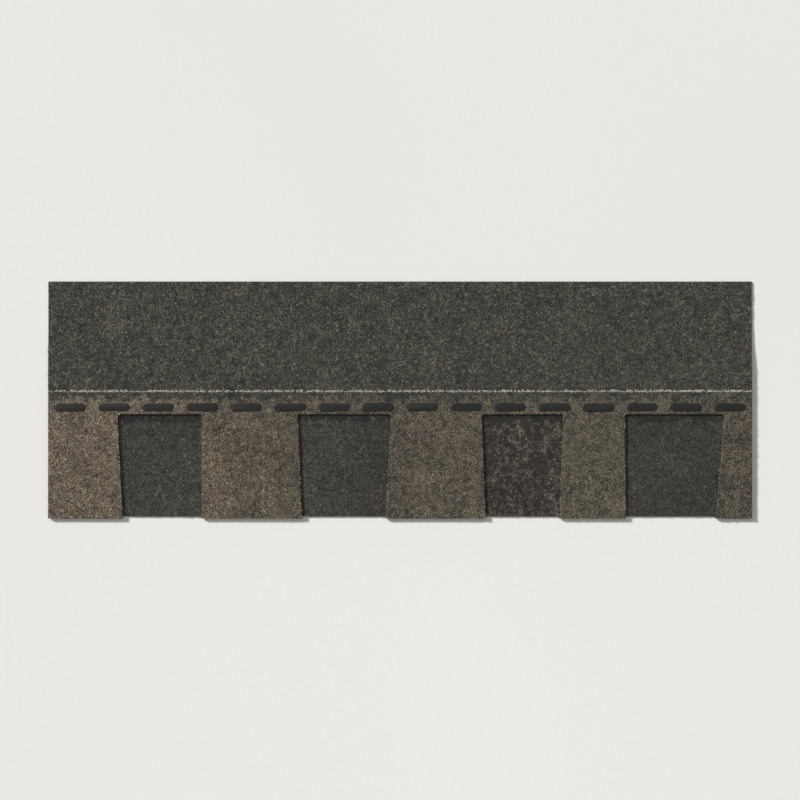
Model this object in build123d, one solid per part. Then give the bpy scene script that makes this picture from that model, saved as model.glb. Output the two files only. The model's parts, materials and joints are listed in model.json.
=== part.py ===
from build123d import *
from itertools import cycle
import math
import os

# A laminated asphalt shingle, lying face up and unheld on a level floor.
#
# It is two sheets of granule-faced asphalt on glass mat. The top sheet is the full size of the
# shingle, and its lower half is cut into wide teeth, which flare a little towards the butt edge.
# The backing strip is bonded under the teeth and runs on above the cutouts, so it shows between
# the teeth one sheet lower and makes the butt edge two sheets thick. The upper half of the top
# sheet has nothing under it: it droops off the strip's upper edge and lies on the floor.
#
# +X runs along the course, +Y from the butt edge to the upper edge, +Z up through the face.
# The origin is the middle of the underside. All sizes are in millimetres.

# The sheets
shingle_length = 1000.0
shingle_width = 337.0
exposure = 143.0
top_sheet_thickness = 2.5
backing_thickness = 2.5

# The backing strip, and how the sheets lie on each other
backing_setback = 3.0
bond_width = 50.0
droop_run = 80.0

# The cutouts between the teeth. The course above covers their closed ends.
cutout_cover = 5.0
cutout_corner_radius = 3.0
narrowest_end_tooth = 25.0

# From the left end of the sheet: each tooth's width and that of the cutout after it, both at the
# butt edge, then how far each side of that cutout leans outwards by the closed end.
tooth_widths = (106.0, 143.0, 143.0, 95.0)
gap_widths = (112.0, 118.0, 104.0, 127.0)
left_leans = (7.0, 6.0, 6.0, 1.0)
right_leans = (0.0, 8.0, 6.0, 13.0)

# The self-sealing strip: dashes of asphalt across the face, just above the cutouts
sealant_clearance = 4.0
dash_length = 45.0
dash_width = 12.0
dash_height = 1.0
dash_round = 0.8
dash_spacing = 17.5

# The release tape, pressed flush into the back of the strip
tape_width = 25.0
tape_thickness = 0.1

# Places across the width, from the butt edge at -Y to the upper edge
butt_y = -shingle_width / 2
upper_y = shingle_width / 2
closed_end_y = butt_y + exposure + cutout_cover
backing_butt_y = butt_y + backing_setback
backing_upper_y = closed_end_y + bond_width
sealant_y = closed_end_y + sealant_clearance + dash_width / 2
# In the bundle every other shingle is turned end for end, so the sealant of one presses on the
# back of the next at the same distance from the other edge.
tape_y = -sealant_y

face_z = backing_thickness + top_sheet_thickness


def top_sheet_section():
    """The sheet cut across: level over the strip, an S of two equal arcs down to the floor, level."""
    middle_y = backing_upper_y + droop_run / 2
    foot_y = backing_upper_y + droop_run
    underside = [
        Line((butt_y, backing_thickness), (backing_upper_y, backing_thickness)),
        TangentArc(
            (backing_upper_y, backing_thickness),
            (middle_y, backing_thickness / 2),
            tangent=(1, 0),
        ),
        TangentArc((foot_y, 0), (middle_y, backing_thickness / 2), tangent=(-1, 0)),
        Line((foot_y, 0), (upper_y, 0)),
    ]
    face = [edge.moved(Location((0, top_sheet_thickness))) for edge in underside]
    ends = [
        Line((butt_y, backing_thickness), (butt_y, face_z)),
        Line((upper_y, 0), (upper_y, top_sheet_thickness)),
    ]
    return Plane.YZ * make_face(underside + face + ends)


def cutout(left_x, gap, left_lean, right_lean):
    """One cutout's outline, which starts below the butt edge so that the knife runs right out."""
    right_x = left_x + gap
    knife_start_y = butt_y - cutout_corner_radius
    outline = make_face(
        Polyline(
            (left_x, knife_start_y),
            (left_x, butt_y),
            (left_x - left_lean, closed_end_y),
            (right_x + right_lean, closed_end_y),
            (right_x, butt_y),
            (right_x, knife_start_y),
            close=True,
        )
    )
    closed_corners = outline.vertices().group_by(Axis.Y)[-1]
    return fillet(closed_corners, cutout_corner_radius)


def cutouts():
    """The row of cutouts from the left end, repeated for as long as a whole one still fits."""
    outlines = []
    left_x = -shingle_length / 2
    for tooth, gap, left_lean, right_lean in cycle(
        zip(tooth_widths, gap_widths, left_leans, right_leans)
    ):
        left_x += tooth
        if left_x + gap + right_lean + narrowest_end_tooth > shingle_length / 2:
            return outlines
        outlines.append(cutout(left_x, gap, left_lean, right_lean))
        left_x += gap


def toothed_top_sheet():
    sheet = extrude(top_sheet_section(), amount=shingle_length / 2, both=True)
    for outline in cutouts():
        knife = Pos(0, 0, backing_thickness) * extrude(outline, amount=2 * face_z, both=True)
        sheet -= knife
    return sheet


def release_tape():
    return Pos(0, tape_y, tape_thickness / 2) * Box(shingle_length, tape_width, tape_thickness)


def backing_strip():
    strip_width = backing_upper_y - backing_butt_y
    middle_y = (backing_upper_y + backing_butt_y) / 2
    strip = Pos(0, middle_y, backing_thickness / 2) * Box(
        shingle_length, strip_width, backing_thickness
    )
    return strip - release_tape()


def sealant_dashes():
    """A row of equal round-ended beads, spread evenly about the middle of the sheet."""
    pitch = dash_length + dash_spacing
    count = math.floor((shingle_length + dash_spacing) / pitch)
    dash = extrude(SlotOverall(dash_length, dash_width), amount=dash_height)
    rim = dash.faces().sort_by(Axis.Z)[-1].edges()
    dash = fillet(rim, dash_round)
    first_x = -(count - 1) * pitch / 2
    return Compound(
        children=[Pos(first_x + n * pitch, sealant_y, face_z) * dash for n in range(count)]
    )


def main():
    pieces = {
        "toothed_top_sheet": toothed_top_sheet(),
        "backing_strip": backing_strip(),
        "sealant_dashes": sealant_dashes(),
        "release_tape": release_tape(),
    }
    os.makedirs("parts", exist_ok=True)
    for name, piece in pieces.items():
        export_step(piece, f"parts/{name}.step")


main()
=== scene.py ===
import json
import math

import bpy
import numpy as np
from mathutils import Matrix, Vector
from mathutils.bvhtree import BVHTree


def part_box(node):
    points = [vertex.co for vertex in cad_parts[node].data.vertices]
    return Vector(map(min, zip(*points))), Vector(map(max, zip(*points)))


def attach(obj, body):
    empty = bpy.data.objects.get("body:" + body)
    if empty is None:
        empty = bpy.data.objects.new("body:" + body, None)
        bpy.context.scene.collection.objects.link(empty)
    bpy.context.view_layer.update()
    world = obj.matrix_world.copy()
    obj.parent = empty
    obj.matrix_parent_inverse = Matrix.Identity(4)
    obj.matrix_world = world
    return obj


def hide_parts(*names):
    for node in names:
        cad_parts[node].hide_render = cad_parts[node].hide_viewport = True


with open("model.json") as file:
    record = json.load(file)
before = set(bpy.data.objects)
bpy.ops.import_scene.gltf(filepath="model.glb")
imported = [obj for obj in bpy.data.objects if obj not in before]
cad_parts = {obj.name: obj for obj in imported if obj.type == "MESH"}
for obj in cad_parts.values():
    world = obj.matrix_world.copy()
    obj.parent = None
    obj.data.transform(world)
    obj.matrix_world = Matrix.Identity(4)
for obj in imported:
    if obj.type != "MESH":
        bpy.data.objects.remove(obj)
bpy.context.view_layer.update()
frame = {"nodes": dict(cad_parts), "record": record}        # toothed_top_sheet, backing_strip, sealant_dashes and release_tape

# A laminated asphalt shingle lying face up on a pale floor, seen from straight above.
#
# Each of its two sheets is a glass mat soaked and coated with asphalt, and its face is pressed full
# of crushed stone granules, each with a fired-on colour. The granules are dropped in blends, one for
# each tooth and cutout, so the course shows lighter teeth and darker cutouts.
#
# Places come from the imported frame. All sizes are in metres, most of them written in MM.

MM = 0.001

nodes = frame["nodes"]
record = frame["record"]

# The granules
exposed_pitch = 1.62 * MM
headlap_pitch = 2.1 * MM
granule_height = 1.15 * MM
granule_reach = 0.62  # half its width, as a share of the pitch
granule_jitter = 0.28  # how far it strays from the lattice, as a share of the pitch
granule_tilt = math.radians(6)
stone_shapes_made = 12
bed_drop = 0.7 * MM  # how far the coating lies under the granules' tops
colour_contrast = 0.72  # how far fine dust lets a granule's colour stand out from its neighbours'
widths_spread = 0.2
narrowest, widest = 0.7, 1.5  # as shares of the usual width
uneven = (0.85, 1.15)  # the range of their heights and of their two widths' ratio
corner_stray = 0.2  # how far each corner of a stone shape strays
squashed_top = 0.9  # how wide the upper face of a squashed octahedron is, against its lower face
wedge_stretch = (0.95, 1.5, 1.0)

# The blends across the face
drop_reach = 22 * MM  # how far a tooth's blend runs on above the cutouts' closed ends
drop_ragged = 7 * MM
drop_fade = 9 * MM
shadow_reach = 9 * MM  # the dark band on the strip, under the closed ends: partly the darker granules such strips have there, partly painted shadow where the closed ends shade the cutouts
shadow_ragged = 7 * MM
shadow_fade = 3 * MM
rags = 6 * MM  # how wide the ragged edges' tongues are
blend_wander = 4 * MM  # how far two teeth's blends reach into each other above a cutout
nail_line_width = 2.6 * MM
paint_cover = 0.88  # the share of the granules on the nail line that took the paint
painted_highlight_reach = 1.3 * MM  # how far from the top sheet's cuts the painted highlight reaches: granules there are lightened, as where light catches the cut edges
# how much lighter the painted highlight along the cuts makes the granules
painted_highlight_gain = 1.18
cut_clear = 0.6 * MM  # the cuts take away the granules whose middles lie nearer than this

# The sealant beads
bead_lumps = 7 * MM
bead_wobble = 1.6 * MM
bead_level = 0.55  # over a half, so that the lumps sink in more than they stand out

# The lamp, the fill and the camera
sun_strength = 5.3
sun_width = math.radians(8)
sun_elevation = math.radians(22.5)
sun_heading = math.radians(32)  # from straight left, round to the upper edge
fill_strength = 0.36
beyond_floor = "ECEBE8"  # the shade that shows past the floor's far edge
floor_width = 40.0
lens = 85.0
sensor = 36.0
frame_share = 0.88  # how much of the picture's width the shingle takes up

# Where the cutouts are, from their open spaces in the record, which stay half a millimetre clear
cutout_boxes = [opening["box_m"] for opening in record["physics"]["openings"]]
cutout_lefts = np.array([low[0] for low, high in cutout_boxes])
cutout_rights = np.array([high[0] for low, high in cutout_boxes])
cutout_middles = (cutout_lefts + cutout_rights) / 2
closed_end_y = max(high[1] for low, high in cutout_boxes)
nail_line_y = next(m["pos_m"][1] for m in record["mounts"] if m["name"] == "nail_line")
sheet_low, sheet_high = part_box("toothed_top_sheet")
strip_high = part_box("backing_strip")[1]

# The fired colours of the granules, as sRGB
GRANULE_COLOURS = {
    "cream": "9C927F",
    "tan": "7F7363",
    "brown": "62574B",
    "rosy": "775F55",
    "olive": "65624F",
    "grey": "6B6962",
    "moss": "4B4F46",
    "umber": "453F3A",
    "slate": "3E433C",
    "charcoal": "363431",
    "black": "252321",
    "rust": "755341",
    "paint": "A39E93",
}

# How many parts of each colour go into a blend
BLENDS = {
    "warm_tan": dict(cream=13, tan=35, brown=25, rosy=11, olive=9, charcoal=6, rust=1),
    "tan": dict(cream=5, tan=27, brown=30, rosy=9, olive=14, umber=4, charcoal=10, rust=1),
    "olive_tan": dict(cream=1, tan=11, brown=20, rosy=3, olive=31, grey=3, umber=15, charcoal=16),
    "pinkish_olive": dict(tan=7, brown=14, rosy=8, olive=29, grey=3, umber=17, charcoal=22),
    "olive": dict(tan=10, brown=17, rosy=2, olive=42, grey=2, umber=12, charcoal=15),
    "dusky_olive": dict(tan=5, brown=12, rosy=5, olive=27, grey=2, umber=21, charcoal=28),
    "slate": dict(grey=2, olive=4, moss=30, slate=36, charcoal=20, black=8),
    "brown_slate": dict(grey=1, olive=3, moss=6, umber=30, slate=22, charcoal=26, black=12),
    "speckles": dict(tan=2, grey=4, brown=8, olive=1, rosy=2, umber=12, charcoal=34, black=37),
    "deep_slate": dict(grey=1, olive=1, moss=12, slate=38, charcoal=32, black=16),
    # the dark band under the closed ends: partly the strip's own darker granules, partly painted
    # shadow
    "shadow": dict(slate=8, charcoal=22, black=70),
    "headlap": dict(grey=4, olive=7, brown=5, moss=16, umber=14, slate=20, charcoal=24, black=10),
}

# The blend at each tooth's left side and at its right side, and the same for each cutout
TEETH = (
    ("warm_tan", "warm_tan"),
    ("tan", "olive_tan"),
    ("pinkish_olive", "olive_tan"),
    ("olive", "olive"),
    ("dusky_olive", "dusky_olive"),
)
CUTOUTS = (
    ("slate", "slate"),
    ("slate", "brown_slate"),
    ("speckles", "speckles"),
    ("brown_slate", "deep_slate"),
)

# How strongly light and dark granules gather in clumps, and the clumps' size in millimetres
CLUMPS = ((1.35, 4.5), (0.85, 11.0), (0.35, 45.0))

# How strongly the shade drifts over the face, and over which size in millimetres
DRIFTS = ((0.06, 9), (0.05, 60))

rng = np.random.default_rng(27)


def linear(code):
    """An sRGB colour code as linear red, green and blue."""
    shares = [int(code[i : i + 2], 16) / 255 for i in (0, 2, 4)]
    return [s / 12.92 if s <= 0.04045 else ((s + 0.055) / 1.055) ** 2.4 for s in shares]


def deselect_all():
    bpy.ops.object.select_all(action="DESELECT")


def make_active(piece):
    deselect_all()
    piece.select_set(True)
    bpy.context.view_layer.objects.active = piece


def select_faces(piece, wanted):
    """Leaves the piece in edit mode with only those faces selected that wanted(face) picks."""
    make_active(piece)
    bpy.ops.object.mode_set(mode="EDIT")
    bpy.ops.mesh.select_mode(type="FACE")
    bpy.ops.mesh.select_all(action="DESELECT")
    bpy.ops.object.mode_set(mode="OBJECT")
    for face in piece.data.polygons:
        face.select = wanted(face)
    bpy.ops.object.mode_set(mode="EDIT")


def new_material(name, roughness=0.8, specular=0.5):
    """A material with one Principled shader, and its nodes and links."""
    material = bpy.data.materials.new(name)
    material.use_nodes = True
    tree = material.node_tree
    shader = tree.nodes["Principled BSDF"]
    shader.inputs["Roughness"].default_value = roughness
    shader.inputs["Specular IOR Level"].default_value = specular
    return material, tree, shader


def node(tree, kind, settings=None, **inputs):
    """Adds a node, sets what is given and links the inputs that are given as sockets."""
    made = tree.nodes.new(kind)
    for key, value in (settings or {}).items():
        setattr(made, key, value)
    for key, value in inputs.items():
        socket = made.inputs[key.replace("_", " ")]
        if isinstance(value, bpy.types.NodeSocket):
            tree.links.new(value, socket)
        else:
            socket.default_value = value
    return made


def ramp(tree, factor, stops):
    """A colour ramp over (place, sRGB code) stops."""
    made = tree.nodes.new("ShaderNodeValToRGB")
    while len(made.color_ramp.elements) < len(stops):
        made.color_ramp.elements.new(1.0)
    for element, (place, code) in zip(made.color_ramp.elements, stops):
        element.position = place
        element.color = (*linear(code), 1.0)
    tree.links.new(factor, made.inputs["Fac"])
    return made.outputs["Color"]


def object_place(tree, stretch=(1, 1, 1)):
    place = node(tree, "ShaderNodeTexCoord").outputs["Object"]
    return node(tree, "ShaderNodeMapping", Vector=place, Scale=stretch).outputs["Vector"]


def noise(tree, place, size, detail=2.0, roughness=0.5):
    """Noise whose features are about this size."""
    settings = {"Scale": 1 / size, "Detail": detail, "Roughness": roughness}
    return node(tree, "ShaderNodeTexNoise", Vector=place, **settings).outputs["Fac"]


def grains(tree, place, size):
    """Cells about this size, as sand or grit lies: a random value each, and how far off its middle."""
    cells = node(tree, "ShaderNodeTexVoronoi", Vector=place, Scale=1 / size).outputs
    pick = node(tree, "ShaderNodeSeparateColor", Color=cells["Color"]).outputs["Red"]
    return pick, cells["Distance"]


def ranged(tree, value, low, high, from_low=0.0, from_high=1.0):
    """The value from one range stretched over another."""
    ends = {"From_Min": from_low, "From_Max": from_high, "To_Min": low, "To_Max": high}
    return node(tree, "ShaderNodeMapRange", Value=value, **ends).outputs["Result"]


def math_node(tree, operation, *values):
    made = node(tree, "ShaderNodeMath", {"operation": operation})
    for value, socket in zip(values, made.inputs):
        if isinstance(value, bpy.types.NodeSocket):
            tree.links.new(value, socket)
        else:
            socket.default_value = value
    return made.outputs["Value"]


def colour_mix(tree, factor, first, second, blend="MIX"):
    made = node(tree, "ShaderNodeMix", {"data_type": "RGBA", "blend_type": blend}, Factor=factor)
    colours = [socket for socket in made.inputs if socket.type == "RGBA"]
    tree.links.new(first, colours[0])
    tree.links.new(second, colours[1])
    return next(socket for socket in made.outputs if socket.type == "RGBA")


def bump(tree, height, depth, strength=1.0):
    made = node(tree, "ShaderNodeBump", Height=height, Distance=depth, Strength=strength)
    return made.outputs["Normal"]


def granule_material():
    """Crushed stone with a fired ceramic coat. Each granule has its own colour and shade.

    The coat is a little blotchy, thicker here and thinner there.
    """
    material, tree, shader = new_material("fired_granules", roughness=0.66, specular=0.26)
    fired = node(tree, "ShaderNodeAttribute", {"attribute_name": "fired_colour"}).outputs["Color"]
    stone = node(tree, "ShaderNodeNewGeometry").outputs["Random Per Island"]
    blotches = noise(tree, object_place(tree), 0.45 * MM, detail=2.0, roughness=0.6)
    coat = ranged(tree, blotches, 0.84, 1.16, from_low=0.3, from_high=0.7)
    shade = math_node(tree, "MULTIPLY", ranged(tree, stone, 0.92, 1.08), coat)
    colour = node(tree, "ShaderNodeVectorMath", {"operation": "SCALE"}, Scale=shade)
    tree.links.new(fired, colour.inputs[0])
    tree.links.new(colour.outputs["Vector"], shader.inputs["Base Color"])
    return material


def coating_material():
    """The asphalt between the granules, full of their dust and smallest grains."""
    material, tree, shader = new_material("asphalt_coating", roughness=0.8, specular=0.3)
    pick, from_middle = grains(tree, object_place(tree), 0.75 * MM)
    stops = ((0.0, "161412"), (0.45, "26231F"), (0.7, "3A352E"), (0.88, "544B40"), (1.0, "6E6252"))
    tree.links.new(ramp(tree, pick, stops), shader.inputs["Base Color"])
    relief = math_node(tree, "SUBTRACT", 1.0, from_middle)
    tree.links.new(bump(tree, relief, 0.3 * MM), shader.inputs["Normal"])
    return material


def cut_edge_material():
    """A knife cut through the sheet: black asphalt with its filler, and the glass mat halfway up.

    The attribute "layer" runs from 0 at the back to 1 at the face.
    """
    material, tree, shader = new_material("cut_edge", roughness=0.55, specular=0.4)
    place = object_place(tree)
    black = ((0.3, "0E0D0C"), (0.6, "1B1A18"), (0.8, "39352F"))
    filler = ramp(tree, noise(tree, place, 0.5 * MM, detail=3.0), black)
    glass = ((0.3, "3A352C"), (0.6, "6E675A"), (0.85, "A19985"))
    fibres = ramp(tree, noise(tree, object_place(tree, (0.4, 0.4, 3.0)), 0.35 * MM, detail=2.0), glass)
    layer = node(tree, "ShaderNodeAttribute", {"attribute_name": "layer"}).outputs["Fac"]
    height = math_node(tree, "MULTIPLY_ADD", noise(tree, place, 6 * MM), 0.25, layer)
    halfway = ((0.0, "000000"), (0.53, "000000"), (0.57, "FFFFFF"), (0.68, "FFFFFF"), (0.72, "000000"))
    mat_shows = ramp(tree, height, halfway)
    tree.links.new(colour_mix(tree, mat_shows, filler, fibres), shader.inputs["Base Color"])
    torn = noise(tree, place, 0.8 * MM, detail=3.0)
    tree.links.new(bump(tree, torn, 0.35 * MM), shader.inputs["Normal"])
    return material


def sanded_back_material():
    """The back coat of asphalt, dusted with fine sand so that stacked shingles don't stick."""
    material, tree, shader = new_material("sanded_back", roughness=0.85, specular=0.3)
    pick = grains(tree, object_place(tree), 0.9 * MM)[0]
    stops = ((0.0, "1D1C1B"), (0.5, "2C2B29"), (0.78, "4A4844"), (0.95, "77736B"), (1.0, "9A958A"))
    sand = ramp(tree, pick, stops)
    streaks = noise(tree, object_place(tree, (0.35, 1, 1)), 28 * MM, detail=5.0, roughness=0.6)
    dust = ramp(tree, streaks, ((0.3, "8C8C8C"), (0.55, "C4C4C2"), (0.75, "FFFFFF")))
    tree.links.new(colour_mix(tree, 1.0, sand, dust, "MULTIPLY"), shader.inputs["Base Color"])
    tree.links.new(bump(tree, pick, 0.25 * MM), shader.inputs["Normal"])
    return material


def sealant_material():
    """Self-sealing asphalt: black and satin, with a wavy skin and a little dust on it."""
    material, tree, shader = new_material("sealant_asphalt", specular=0.3)
    place = object_place(tree)
    blacks = ((0.35, "0B0B0B"), (0.7, "191817"), (0.9, "302E2B"))
    skin = ramp(tree, noise(tree, place, 3 * MM, detail=3.0), blacks)
    tree.links.new(skin, shader.inputs["Base Color"])
    tree.links.new(ranged(tree, noise(tree, place, 5 * MM), 0.52, 0.74), shader.inputs["Roughness"])
    waves = noise(tree, place, 2.5 * MM, detail=2.0)
    tree.links.new(bump(tree, waves, 0.4 * MM), shader.inputs["Normal"])
    return material


def release_film_material():
    """Clear polyester film lying on the black back coat, with long fine wrinkles."""
    material, tree, shader = new_material("release_film", specular=0.6)
    clouds = noise(tree, object_place(tree, (0.25, 1, 1)), 9 * MM, detail=4.0)
    tint = ramp(tree, clouds, ((0.3, "8B8E90"), (0.55, "9DA0A2"), (0.8, "B4B7B8")))
    tree.links.new(tint, shader.inputs["Base Color"])
    tree.links.new(ranged(tree, clouds, 0.14, 0.34), shader.inputs["Roughness"])
    wrinkles = noise(tree, object_place(tree, (0.12, 1, 1)), 4 * MM, detail=3.0)
    tree.links.new(bump(tree, wrinkles, 0.3 * MM, strength=0.6), shader.inputs["Normal"])
    return material


def floor_material():
    """Pale matt floor, a little uneven in tone."""
    material, tree, shader = new_material("pale_floor", roughness=0.9, specular=0.2)
    clouds = noise(tree, object_place(tree), 1.5, detail=2.0)
    tree.links.new(ramp(tree, clouds, ((0.3, "E6E5E2"), (0.7, "EAE9E6"))), shader.inputs["Base Color"])
    return material


def faces_up(face):
    return face.normal.z > 0.5


def faces_down(face):
    return face.normal.z < -0.5


def merged_copy(cad_node, name):
    """A copy of a CAD node as a piece of its own, its loose triangles joined up."""
    piece = nodes[cad_node].copy()
    piece.data = nodes[cad_node].data.copy()
    piece.name = name
    piece.data.name = name
    for key in list(piece.keys()):
        del piece[key]
    bpy.context.scene.collection.objects.link(piece)
    piece.parent = None
    make_active(piece)
    bpy.ops.object.mode_set(mode="EDIT")
    bpy.ops.mesh.select_all(action="SELECT")
    bpy.ops.mesh.remove_doubles(threshold=0.01 * MM)
    bpy.ops.object.mode_set(mode="OBJECT")
    return piece


def coated_mat(name, cad_node, materials):
    """The mat and asphalt of one sheet: the CAD sheet with its face lowered to the granules' bed.

    The materials are those of its face, its cut edges and its back.
    """
    mat = merged_copy(cad_node, name)
    mat.data.materials.clear()
    for material in materials:
        mat.data.materials.append(material)
    on_face = set()
    for face in mat.data.polygons:
        face.material_index = 0 if faces_up(face) else 2 if faces_down(face) else 1
        if faces_up(face):
            on_face.update(face.vertices)
    layer = mat.data.attributes.new("layer", "FLOAT", "POINT")
    for vertex in mat.data.vertices:
        layer.data[vertex.index].value = 1.0 if vertex.index in on_face else 0.0
    select_faces(mat, faces_up)
    bpy.ops.transform.translate(value=(0, 0, -bed_drop))
    bpy.ops.object.mode_set(mode="OBJECT")
    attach(mat, "root")
    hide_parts(cad_node)
    return mat


def press_onto_strip(mat):
    """Carries the top sheet's bonded underside down to the strip's bed, as laminating asphalt does."""
    bonded = strip_high[2] - 0.05 * MM

    def is_bonded(face):
        return faces_down(face) and face.center.y < strip_high[1] and face.center.z > bonded

    select_faces(mat, is_bonded)
    bpy.ops.transform.translate(value=(0, 0, -bed_drop))
    bpy.ops.object.mode_set(mode="OBJECT")


def crushed_stone(seed):
    """One granule's shape, about 1 from middle to side and 1 high: its points and its triangles.

    Every third one is a wedge, which lies with its edge or a flat up. The others are squashed
    octahedra.
    """
    deselect_all()
    bpy.ops.mesh.primitive_cylinder_add(vertices=3, radius=1.0, depth=1.0)
    stone = bpy.context.object
    select_faces(stone, faces_up)
    if seed % 3:
        bpy.ops.transform.rotate(value=math.radians(60), orient_axis="Z", center_override=(0, 0, 0))
        bpy.ops.transform.resize(value=(squashed_top, squashed_top, 1), center_override=(0, 0, 0))
    else:
        bpy.ops.mesh.select_all(action="SELECT")
        onto_its_side = math.radians(90 if seed % 2 else -90)
        bpy.ops.transform.rotate(value=onto_its_side, orient_axis="X", center_override=(0, 0, 0))
        bpy.ops.transform.resize(value=wedge_stretch, center_override=(0, 0, 0))
    bpy.ops.mesh.select_all(action="SELECT")
    bpy.ops.mesh.quads_convert_to_tris(quad_method="SHORTEST_DIAGONAL")
    bpy.ops.transform.vertex_random(offset=corner_stray, uniform=0.0, normal=0.0, seed=seed)
    bpy.ops.mesh.normals_make_consistent(inside=False)
    bpy.ops.object.mode_set(mode="OBJECT")
    points = np.array([vertex.co for vertex in stone.data.vertices])
    points[:, 2] -= (points[:, 2].min() + points[:, 2].max()) / 2
    points[:, 2] /= np.ptp(points[:, 2])
    triangles = np.array([face.vertices for face in stone.data.polygons])
    mesh = stone.data
    bpy.data.objects.remove(stone)
    bpy.data.meshes.remove(mesh)
    return points, triangles


def lattice(low, high, pitch):
    """Places on a jittered triangular lattice over a rectangle, as granules lie when rolled in."""
    row_pitch = pitch * math.sqrt(3) / 2
    across = np.arange(low[0] + pitch / 4, high[0] - pitch / 4, pitch)
    up = np.arange(low[1] + pitch / 2, high[1] - pitch / 4, row_pitch)
    x, y = np.meshgrid(across, up)
    x[1::2] += pitch / 2
    places = np.stack([x.ravel(), y.ravel()], axis=1)
    places += rng.uniform(-granule_jitter, granule_jitter, places.shape) * pitch
    inside = np.abs(places[:, 0]) < high[0] - pitch / 5
    return places[inside]


def soft_noise(places, size):
    """Smooth random values from -1 to 1 that change over about this size."""
    at = (places - places.min(axis=0)) / size
    cell = at.astype(int)
    share = at - cell
    share = share * share * (3 - 2 * share)
    grid = rng.uniform(-1, 1, cell.max(axis=0) + 2)
    i, j = cell.T
    u, v = share.T
    near = grid[i, j] * (1 - u) + grid[i + 1, j] * u
    far = grid[i, j + 1] * (1 - u) + grid[i + 1, j + 1] * u
    return near * (1 - v) + far * v


def surface_under(places, name):
    """The height of a sheet's face under each place, or NaN where it has none."""
    tree = BVHTree.FromObject(nodes[name], bpy.context.evaluated_depsgraph_get())
    above = sheet_high[2] + 50 * MM
    heights = np.full(len(places), np.nan)
    for i, (x, y) in enumerate(places.tolist()):
        spot, normal = tree.ray_cast((x, y, above), (0, 0, -1))[:2]
        if spot is not None and normal.z > 0.5:
            heights[i] = spot.z
    return heights


def near_cut(places, sheet, reach):
    """Whether a cut edge of the sheet lies within this reach of each place."""
    near = np.zeros(len(places), bool)
    for side in ((-reach, 0), (reach, 0), (0, -reach), (0, reach)):
        near |= np.isnan(surface_under(places + side, sheet))
    return near


def blend_table():
    """One row for each blend, which gives the share of each granule colour, and the rows' numbers."""
    colours = list(GRANULE_COLOURS)
    table = np.zeros((len(BLENDS), len(colours)))
    for row, parts in enumerate(BLENDS.values()):
        for colour, count in parts.items():
            table[row, colours.index(colour)] = count
    return table / table.sum(axis=1, keepdims=True), {name: row for row, name in enumerate(BLENDS)}


def smooth_step(value):
    value = np.clip(value, 0, 1)
    return value * value * (3 - 2 * value)


def mixed_blends(shares, rows, pairs, number, across):
    """The blend at each place, from its tooth's or cutout's pair and how far across that it lies."""
    left = shares[[rows[pair[0]] for pair in pairs]][number]
    right = shares[[rows[pair[1]] for pair in pairs]][number]
    across = smooth_step(across)[:, None]
    return left * (1 - across) + right * across


def granule_blends(places, on_top):
    """The share of each granule colour at each place."""
    shares, rows = blend_table()
    x, y = places.T
    ragged = soft_noise(places, rags)[:, None]
    tooth_lefts = np.concatenate([[sheet_low[0]], cutout_rights])
    tooth_rights = np.concatenate([cutout_lefts, [sheet_high[0]]])
    tooth = np.searchsorted(cutout_middles, x + blend_wander * ragged[:, 0])
    across_tooth = (x - tooth_lefts[tooth]) / (tooth_rights - tooth_lefts)[tooth]
    cutout = np.abs(x[:, None] - cutout_middles).argmin(axis=1)
    across_cutout = (x - cutout_lefts[cutout]) / (cutout_rights - cutout_lefts)[cutout]
    on_teeth = mixed_blends(shares, rows, TEETH, tooth, across_tooth)
    on_strip = mixed_blends(shares, rows, CUTOUTS, cutout, across_cutout)
    above_drop = y[:, None] - closed_end_y - drop_reach + drop_ragged * ragged
    headlap = smooth_step(0.5 + above_drop / drop_fade)
    on_teeth = on_teeth * (1 - headlap) + shares[rows["headlap"]] * headlap
    # Partly painted shadow: the strip goes dark just under the cutouts' closed ends, where shade
    # falls, and partly the darker band such strips have.
    in_shadow = y[:, None] - closed_end_y + shadow_reach + shadow_ragged * ragged
    shadow = smooth_step(0.5 + in_shadow / shadow_fade)
    on_strip = on_strip * (1 - shadow) + shares[rows["shadow"]] * shadow
    return np.where(on_top[:, None], on_teeth, on_strip)


def fired_colours(places, on_top, in_painted_highlight):
    """Picks a colour for each granule from its blend. Light and dark ones gather in small clumps.
    Granules along the top sheet's cuts get a painted highlight.
    """
    palette = np.array([linear(code) for code in GRANULE_COLOURS.values()])
    weights = granule_blends(places, on_top)
    lightness = palette.mean(axis=1)
    lightness = np.log(lightness / np.median(lightness))
    clumps = sum(share * soft_noise(places, size * MM) for share, size in CLUMPS)
    weights = weights * np.exp(clumps[:, None] * lightness)
    weights /= weights.sum(axis=1, keepdims=True)
    around = weights @ palette
    steps = np.cumsum(weights, axis=1)
    pick = (rng.random(len(places))[:, None] * steps[:, -1:] > steps).sum(axis=1)
    colours = around + colour_contrast * (palette[pick] - around)
    on_line = np.abs(places[:, 1] - nail_line_y) < nail_line_width / 2
    painted = on_top & on_line & (rng.random(len(places)) < paint_cover)
    colours[painted] = palette[list(GRANULE_COLOURS).index("paint")]
    shade = 1 + sum(share * soft_noise(places, size * MM) for share, size in DRIFTS)
    # Painted highlight: granules along the top sheet's cuts are lightened, as where light catches the
    # cut edges.
    shade[in_painted_highlight] *= painted_highlight_gain
    return colours * shade[:, None]


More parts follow.
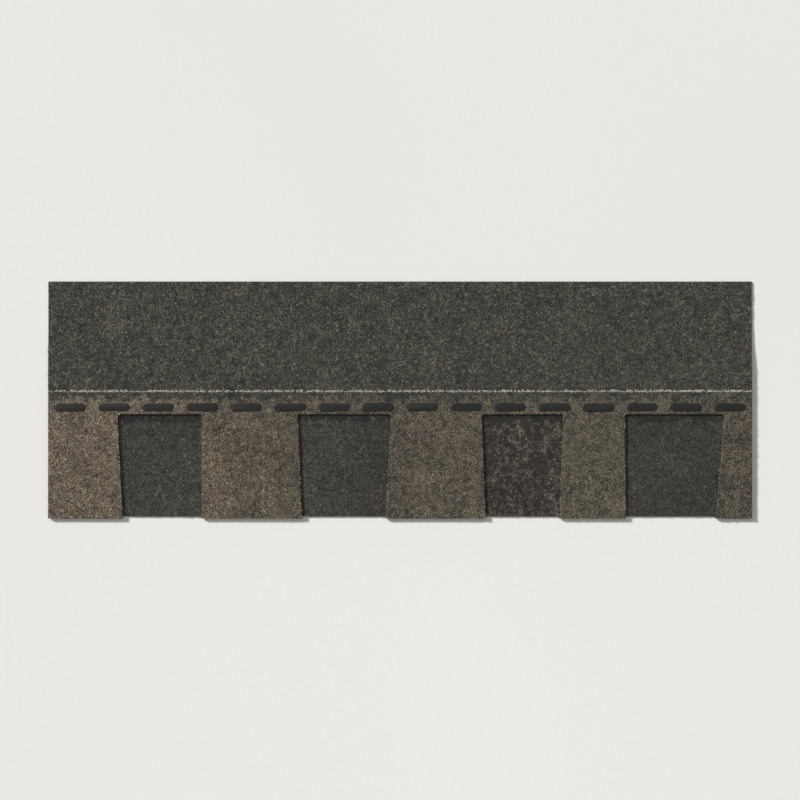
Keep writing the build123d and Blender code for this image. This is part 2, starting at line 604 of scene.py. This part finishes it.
def turns(count):
    """A random turn for each granule: any heading, and a small tilt that any side may have."""
    heading = rng.uniform(0, 2 * math.pi, count)
    tilt = rng.normal(0, granule_tilt, count)
    spin = rng.uniform(0, 2 * math.pi, count)

    def about_z(angle):
        c, s, o, e = np.cos(angle), np.sin(angle), np.zeros(count), np.ones(count)
        return np.stack([c, -s, o, s, c, o, o, o, e], axis=1).reshape(-1, 3, 3)

    c, s, o, e = np.cos(tilt), np.sin(tilt), np.zeros(count), np.ones(count)
    about_y = np.stack([c, o, s, o, e, o, -s, o, c], axis=1).reshape(-1, 3, 3)
    return about_z(heading) @ about_y @ about_z(spin)


def cell_map(mesh, count, faces_each):
    """A UV map on which each granule has a square cell of its own, all its faces inside it."""
    side = math.ceil(math.sqrt(count))
    margin = 0.14
    lower = [(margin, margin), (1 - margin, margin), (margin, 1 - margin)]
    upper = [(1 - margin, 1 - margin), (margin, 1 - margin), (1 - margin, margin)]
    one = np.array([corner for k in range(faces_each) for corner in (upper if k % 2 else lower)])
    number = np.arange(count)
    cell = np.stack([number % side, number // side], axis=1)
    spots = (cell[:, None, :] + one[None]) / side
    uv = mesh.uv_layers.new(name="OFBake")
    uv.uv.foreach_set("vector", spots.astype(np.float32).ravel())


def granule_piece(name, shapes, material, places, heights, pitch, colours):
    """One mesh of many granules, pressed into the sheet so that their tops reach its face."""
    count = len(places)
    points = np.array([shape[0] for shape in shapes])
    triangles = np.array([shape[1] for shape in shapes])
    shape = rng.integers(len(shapes), size=count)
    width = granule_reach * pitch * np.clip(rng.lognormal(0, widths_spread, count), narrowest, widest)
    height = granule_height * rng.uniform(*uneven, count)
    size = np.stack([width * rng.uniform(*uneven, count), width, height], axis=1)
    local = points[shape] * size[:, None, :]
    local = local @ turns(count).transpose(0, 2, 1)
    middle = np.column_stack([places, heights - height / 2])
    corners = (local + middle[:, None, :]).reshape(-1, 3)
    faces = triangles[shape] + (np.arange(count) * points.shape[1])[:, None, None]
    mesh = bpy.data.meshes.new(name)
    mesh.from_pydata(corners, [], faces.reshape(-1, 3))
    cell_map(mesh, count, triangles.shape[1])
    rgba = np.ones((count, points.shape[1], 4), np.float32)
    rgba[:, :, :3] = colours[:, None, :]
    fired = mesh.attributes.new("fired_colour", "FLOAT_COLOR", "POINT")
    fired.data.foreach_set("color", rgba.ravel())
    mesh.materials.append(material)
    piece = bpy.data.objects.new(name, mesh)
    bpy.context.scene.collection.objects.link(piece)
    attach(piece, "root")
    return piece


def granules():
    """All the granules of the face, in a few pieces: teeth, cutouts and headlap."""
    shapes = [crushed_stone(seed) for seed in range(stone_shapes_made)]
    material = granule_material()
    below = lattice(sheet_low, (sheet_high[0], nail_line_y), exposed_pitch)
    above = lattice((sheet_low[0], nail_line_y), sheet_high, headlap_pitch)
    places = np.concatenate([below, above])
    pitch = np.repeat([exposed_pitch, headlap_pitch], [len(below), len(above)])
    top_height = surface_under(places, "toothed_top_sheet")
    on_top = ~np.isnan(top_height)
    heights = np.where(on_top, top_height, surface_under(places, "backing_strip"))
    in_painted_highlight, cut_away = np.zeros((2, len(places)), bool)
    # the granules near the top sheet's cuts, which get the painted highlight
    in_painted_highlight[on_top] = near_cut(places[on_top], "toothed_top_sheet", painted_highlight_reach)
    cut_away[on_top] = near_cut(places[on_top], "toothed_top_sheet", cut_clear)
    cut_away[~on_top] = near_cut(places[~on_top], "backing_strip", cut_clear)
    colours = fired_colours(places, on_top, in_painted_highlight)
    kept = ~np.isnan(heights) & ~cut_away
    x, y = places.T
    exposed = y < nail_line_y
    third = sheet_high[0] / 3
    parts = {
        "teeth_granules_left": on_top & exposed & (x < 0),
        "teeth_granules_right": on_top & exposed & (x >= 0),
        "cutout_granules_left": ~on_top & (x < 0),
        "cutout_granules_right": ~on_top & (x >= 0),
        "headlap_granules_left": on_top & ~exposed & (x < -third),
        "headlap_granules_middle": on_top & ~exposed & (np.abs(x) <= third),
        "headlap_granules_right": on_top & ~exposed & (x > third),
    }
    for name, chosen in parts.items():
        chosen = chosen & kept
        granule_piece(
            name, shapes, material, places[chosen], heights[chosen], pitch[chosen], colours[chosen]
        )
        print(name, chosen.sum(), "granules")


def spans_across(cad_node):
    """From where to where along the course each loose part of a CAD node reaches, left to right."""
    merged_copy(cad_node, "loose_parts")
    bpy.ops.object.mode_set(mode="EDIT")
    bpy.ops.mesh.separate(type="LOOSE")
    bpy.ops.object.mode_set(mode="OBJECT")
    spans = []
    for part in list(bpy.context.selected_objects):
        across = [vertex.co.x for vertex in part.data.vertices]
        spans.append((min(across), max(across)))
        bpy.data.objects.remove(part)
    return sorted(spans)


def sealant_beads():
    """The dashes as hot asphalt leaves them: crowned, round-ended and a little uneven."""
    low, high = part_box("sealant_dashes")
    dashes = spans_across("sealant_dashes")
    middle_y = (low[1] + high[1]) / 2
    radius = (high[1] - low[1]) / 2
    lumps = bpy.data.textures.new("bead_lumps", "CLOUDS")
    lumps.noise_scale = bead_lumps
    beads = []
    for dash in dashes:
        deselect_all()
        bpy.ops.mesh.primitive_uv_sphere_add(segments=28, ring_count=10, radius=radius)
        bead = bpy.context.object
        half_straight = (dash[1] - dash[0]) / 2 - radius
        bpy.ops.object.mode_set(mode="EDIT")
        bpy.ops.mesh.select_all(action="SELECT")
        crown = (high[2] - low[2]) / radius
        bpy.ops.transform.resize(value=(1, 1, crown), center_override=(0, 0, 0))
        bpy.ops.object.mode_set(mode="OBJECT")
        for side in (-1, 1):
            select_faces(bead, lambda face: face.center.x * side > 0)
            bpy.ops.transform.translate(value=(side * half_straight, 0, 0))
            bpy.ops.object.mode_set(mode="OBJECT")
        bpy.ops.object.mode_set(mode="EDIT")
        bpy.ops.mesh.select_all(action="SELECT")
        bpy.ops.transform.translate(value=((dash[0] + dash[1]) / 2, middle_y, low[2]))
        bpy.ops.object.mode_set(mode="OBJECT")
        wobble = bead.modifiers.new("wobble", "DISPLACE")
        wobble.texture = lumps
        wobble.texture_coords = "GLOBAL"
        wobble.strength = bead_wobble
        wobble.mid_level = bead_level
        bpy.ops.object.modifier_apply(modifier="wobble")
        beads.append(bead)
    deselect_all()
    for bead in beads:
        bead.select_set(True)
    bpy.context.view_layer.objects.active = beads[0]
    bpy.ops.object.join()
    row = bpy.context.object
    row.name = "sealant_beads"
    bpy.ops.object.shade_smooth()
    row.data.materials.append(sealant_material())
    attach(row, "root")
    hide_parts("sealant_dashes")


def dress_shingle():
    coating, cut_edge, back = coating_material(), cut_edge_material(), sanded_back_material()
    layers = (coating, cut_edge, back)
    granules()
    top = coated_mat("top_sheet_mat", "toothed_top_sheet", layers)
    press_onto_strip(top)
    coated_mat("backing_strip_mat", "backing_strip", layers)
    sealant_beads()
    tape = nodes["release_tape"]
    tape.data.materials.clear()
    tape.data.materials.append(release_film_material())


def stage():
    """A pale floor and a low lamp from the upper left."""
    deselect_all()
    bpy.ops.mesh.primitive_plane_add(size=floor_width)
    floor = bpy.context.object
    floor.name = "floor"
    floor.data.materials.append(floor_material())
    bpy.ops.object.light_add(type="SUN")
    sun = bpy.context.object
    sun.name = "key_light"
    sun.data.energy = sun_strength
    sun.data.angle = sun_width
    level = math.cos(sun_elevation)
    to_left, to_upper_edge = level * math.cos(sun_heading), level * math.sin(sun_heading)
    toward_sun = Vector((-to_left, to_upper_edge, math.sin(sun_elevation)))
    sun.rotation_euler = toward_sun.to_track_quat("Z", "Y").to_euler()


def surroundings():
    """A soft white fill. The camera and reflections see a pale shade where the floor ends."""
    world = bpy.data.worlds.new("surroundings")
    bpy.context.scene.world = world
    world.use_nodes = True
    tree = world.node_tree
    fill = tree.nodes["Background"]
    fill.inputs["Color"].default_value = (1, 1, 1, 1)
    fill.inputs["Strength"].default_value = fill_strength
    seen = node(tree, "ShaderNodeBackground", Color=(*linear(beyond_floor), 1.0), Strength=1.0)
    rays = node(tree, "ShaderNodeLightPath").outputs
    mirrored = math_node(tree, "MAXIMUM", rays["Is Glossy Ray"], rays["Is Transmission Ray"])
    in_view = math_node(tree, "MAXIMUM", rays["Is Camera Ray"], mirrored)
    choice = node(tree, "ShaderNodeMixShader")
    tree.links.new(in_view, choice.inputs[0])
    tree.links.new(fill.outputs["Background"], choice.inputs[1])
    tree.links.new(seen.outputs["Background"], choice.inputs[2])
    tree.links.new(choice.outputs["Shader"], tree.nodes["World Output"].inputs["Surface"])


def camera():
    """Straight above the middle, with the butt edge along the bottom of the picture."""
    frame_width = (sheet_high[0] - sheet_low[0]) / frame_share
    data = bpy.data.cameras.new("camera")
    data.lens = lens
    data.sensor_width = sensor
    made = bpy.data.objects.new("camera", data)
    made.location = (0, 0, sheet_high[2] + frame_width * lens / sensor)
    bpy.context.scene.collection.objects.link(made)
    bpy.context.scene.camera = made


dress_shingle()
stage()
surroundings()
camera()
bpy.context.scene.view_settings.view_transform = "Standard"
